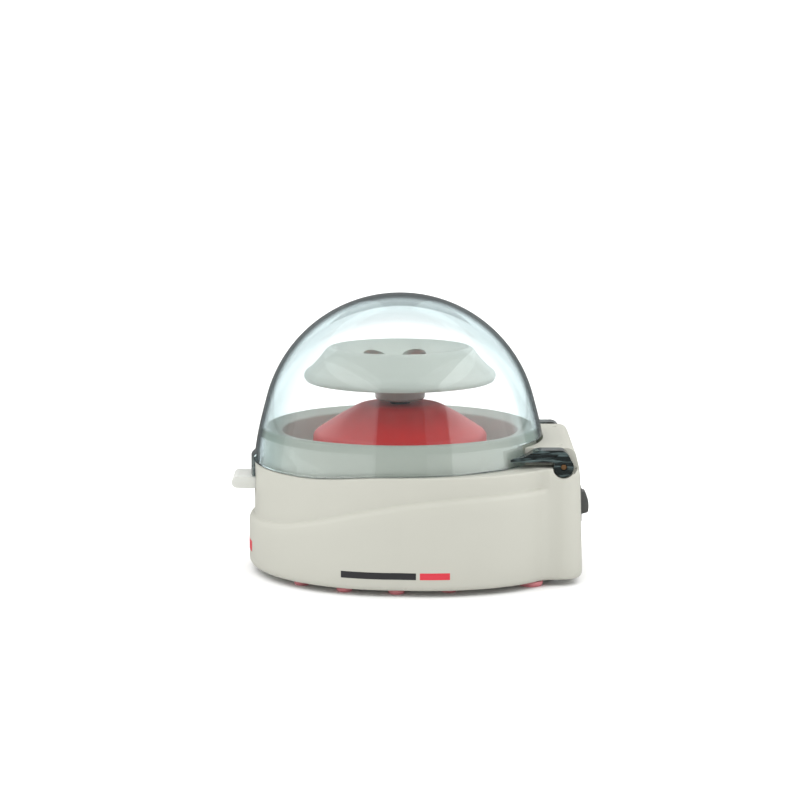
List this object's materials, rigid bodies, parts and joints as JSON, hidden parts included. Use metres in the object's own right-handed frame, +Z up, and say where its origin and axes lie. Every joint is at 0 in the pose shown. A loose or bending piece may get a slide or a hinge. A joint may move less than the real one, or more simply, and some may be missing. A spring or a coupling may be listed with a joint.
{
  "type": "mini laboratory centrifuge",
  "caption": "Palm-sized laboratory centrifuge: clear hinged dome lid, dished tube rotor over a cone and bowl, release tab, rear rocker switch and rubber feet.",
  "frame": {"origin": "middle of the footprint box, on the table under the feet", "axes": "+Z up, -Y the front with the release tab, +Y the rear with the hinge and the switch, +X the right-hand side seen from the front looking back"},
  "size_m": [0.1318, 0.1529, 0.1186],
  "materials": {
    "case_white": "fine satin moulded ABS, warm off-white",
    "foot_red": "soft matt red rubber",
    "steel": "plain bright steel",
    "bowl_grey": "satin grey-green plastic",
    "cone_red": "satin red plastic",
    "rubber_black": "matt black rubber",
    "black_plastic": "fine grained dark grey plastic",
    "bronze": "dull bronze",
    "board_green": "green solder mask",
    "wire_red": "red insulation",
    "wire_black": "black insulation",
    "lid_smoke": "dark smoky blue-green clear plastic, seen through its thickness",
    "lid_clear": "clear smoky blue-green polycarbonate",
    "rotor_grey": "satin light grey plastic",
    "tab_white": "milky translucent white plastic"
  },
  "bodies": {
    "base": {"housing_shell": "case_white", "base_plate": "case_white", "board_connector": "case_white", "small_foot_1": "foot_red", "small_foot_2": "foot_red", "small_foot_3": "foot_red", "small_foot_4": "foot_red", "small_foot_5": "foot_red", "small_foot_6": "foot_red", "small_foot_7": "foot_red", "small_foot_8": "foot_red", "rear_foot_right": "foot_red", "rear_foot_left": "foot_red", "case_screw_1": "steel", "case_screw_2": "steel", "case_screw_3": "steel", "case_screw_4": "steel", "motor_case": "steel", "motor_mount": "steel", "motor_screw_1": "steel", "motor_screw_2": "steel", "motor_screw_3": "steel", "latch_pin": "steel", "latch_spring": "steel", "rotor_bowl": "bowl_grey", "motor_cone": "cone_red", "shaft_seal": "rubber_black", "motor_damper_1": "rubber_black", "motor_damper_2": "rubber_black", "motor_damper_3": "rubber_black", "motor_end_cap": "black_plastic", "board_chip": "black_plastic", "board_capacitor": "black_plastic", "switch_frame": "black_plastic", "power_jack": "black_plastic", "lid_switch_body": "black_plastic", "bearing_upper": "bronze", "bearing_lower": "bronze", "switch_terminal_upper": "bronze", "switch_terminal_lower": "bronze", "hinge_pin_right": "bronze", "hinge_pin_left": "bronze", "circuit_board": "board_green", "motor_lead_red": "wire_red", "motor_lead_black": "wire_black"},
    "lid": {"lid_dome": "lid_clear", "lid_arm_right": "lid_smoke", "lid_arm_left": "lid_smoke"},
    "rotor": {"rotor_disc": "rotor_grey", "rotor_hub": "rotor_grey", "rotor_cap": "rotor_grey", "hub_o_ring": "rubber_black", "drive_shaft": "steel", "motor_armature": "steel"},
    "rocker": {"switch_rocker": "black_plastic"},
    "latch": {"release_tab": "tab_white"},
    "plunger": {"lid_switch_plunger": "black_plastic"}
  },
  "joints": [
    {"name": "lid_hinge", "type": "hinge", "parent": "base", "child": "lid", "pos_m": [0, 0.0642, 0.0503], "axis": [-1, 0, 0], "range_deg": [0, 90]},
    {"name": "rotor_spin", "type": "hinge", "parent": "base", "child": "rotor", "pos_m": [0, -0.0041, 0.085], "axis": [0, 0, 1], "continuous": true},
    {"name": "rocker_tilt", "type": "hinge", "parent": "base", "child": "rocker", "pos_m": [0.013, 0.0694, 0.03], "axis": [-1, 0, 0], "range_deg": [0, 18]},
    {"name": "latch_press", "type": "hinge", "parent": "base", "child": "latch", "pos_m": [0, -0.0606, 0.0382], "axis": [1, 0, 0], "range_deg": [0, 8], "stiffness_Nm_per_rad": 0.4, "springref_deg": -2.86, "deforming": ["latch_spring"]},
    {"name": "lid_switch_press", "type": "slide", "parent": "base", "child": "plunger", "axis": [0, 0, 1], "range_m": [-0.0012, 0], "stiffness_N_per_m": 300, "springref_m": 0.0005}
  ]
}
